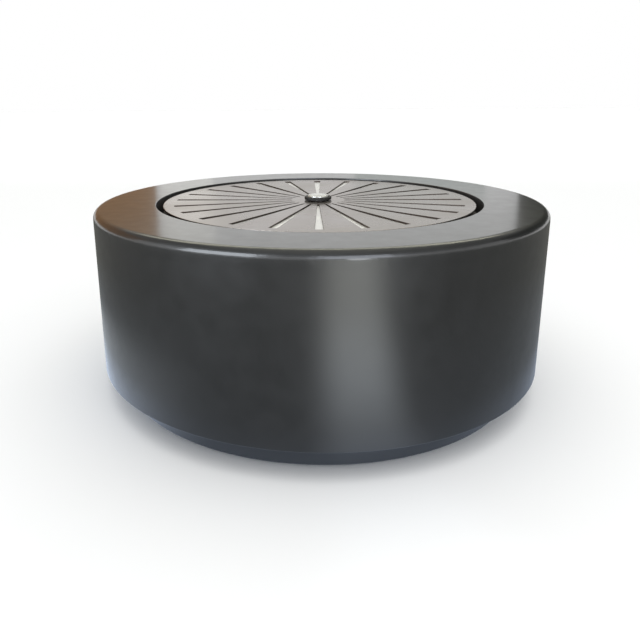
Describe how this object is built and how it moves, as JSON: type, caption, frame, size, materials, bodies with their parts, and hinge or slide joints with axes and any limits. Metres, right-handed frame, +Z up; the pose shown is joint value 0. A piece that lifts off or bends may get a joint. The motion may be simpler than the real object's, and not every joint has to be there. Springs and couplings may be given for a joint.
{
  "type": "fire pit",
  "caption": "Round steel fire pit: low drum with a flat rim on a recessed plinth, lift-out fire bowl, and a radially slotted stainless cover grate with a centre knob that turns a shutter.",
  "frame": {"origin": "on the ground under the drum's axis, at the lowest face of the feet", "axes": "+Z up along the drum's axis, -Y towards the front, +X to the right seen from the front"},
  "size_m": [0.8999, 0.9, 0.3757],
  "materials": {
    "drum_coat": "fine-textured satin powder coat",
    "heatproof_black": "matt heat-proof enamel",
    "brushed_stainless": "brushed",
    "polished_stainless": "polished",
    "zinc_steel": "zinc plated",
    "knob_black": "matt phenolic",
    "foot_plastic": "matt",
    "mill_steel": "blackened hot-rolled"
  },
  "bodies": {
    "drum": {"rim_ring": "drum_coat", "drum_wall": "drum_coat", "plinth_ring": "drum_coat", "base_plate": "drum_coat", "throat_collar": "heatproof_black", "rim_gussets": "heatproof_black", "bowl_rests": "heatproof_black", "foot_brackets": "drum_coat", "foot_weld_nuts": "zinc_steel", "ember_shield": "heatproof_black", "shield_spacers": "zinc_steel", "shield_screws": "zinc_steel", "shield_nuts": "zinc_steel"},
    "bowl": {"fire_bowl": "heatproof_black", "bowl_flange": "heatproof_black", "bowl_handles": "heatproof_black"},
    "fuel_grate": {"fuel_grate_bars": "mill_steel", "fuel_grate_ring": "mill_steel", "fuel_grate_legs": "mill_steel"},
    "cover": {"grate_plate": "brushed_stainless", "grate_support_ring": "brushed_stainless", "hub_bush": "brushed_stainless", "shutter_clips": "brushed_stainless", "stop_pin": "brushed_stainless"},
    "shutter": {"shutter_disc": "polished_stainless", "hub_stud": "brushed_stainless", "shutter_rivets": "brushed_stainless", "knob_ring": "knob_black", "knob_cap": "polished_stainless"},
    "foot_1": {"foot_stud_1": "zinc_steel", "foot_pad_1": "foot_plastic"},
    "foot_2": {"foot_stud_2": "zinc_steel", "foot_pad_2": "foot_plastic"},
    "foot_3": {"foot_stud_3": "zinc_steel", "foot_pad_3": "foot_plastic"},
    "foot_4": {"foot_stud_4": "zinc_steel", "foot_pad_4": "foot_plastic"}
  },
  "joints": [
    {"name": "bowl_lift", "type": "slide", "parent": "drum", "child": "bowl", "axis": [0, 0, 1], "range_m": [0, 0.3]},
    {"name": "cover_lift", "type": "slide", "parent": "bowl", "child": "cover", "axis": [0, 0, 1], "range_m": [0, 0.2]},
    {"name": "shutter_turn", "type": "hinge", "parent": "cover", "child": "shutter", "pos_m": [0, 0, 0.3597], "axis": [0, 0, 1], "range_deg": [0, 7.5]},
    {"name": "fuel_grate_lift", "type": "slide", "parent": "bowl", "child": "fuel_grate", "axis": [0, 0, 1], "range_m": [0, 0.15]},
    {"name": "foot_1_adjust", "type": "slide", "parent": "drum", "child": "foot_1", "axis": [0, 0, -1], "range_m": [0, 0.015]},
    {"name": "foot_2_adjust", "type": "slide", "parent": "drum", "child": "foot_2", "axis": [0, 0, -1], "range_m": [0, 0.015]},
    {"name": "foot_3_adjust", "type": "slide", "parent": "drum", "child": "foot_3", "axis": [0, 0, -1], "range_m": [0, 0.015]},
    {"name": "foot_4_adjust", "type": "slide", "parent": "drum", "child": "foot_4", "axis": [0, 0, -1], "range_m": [0, 0.015]}
  ]
}
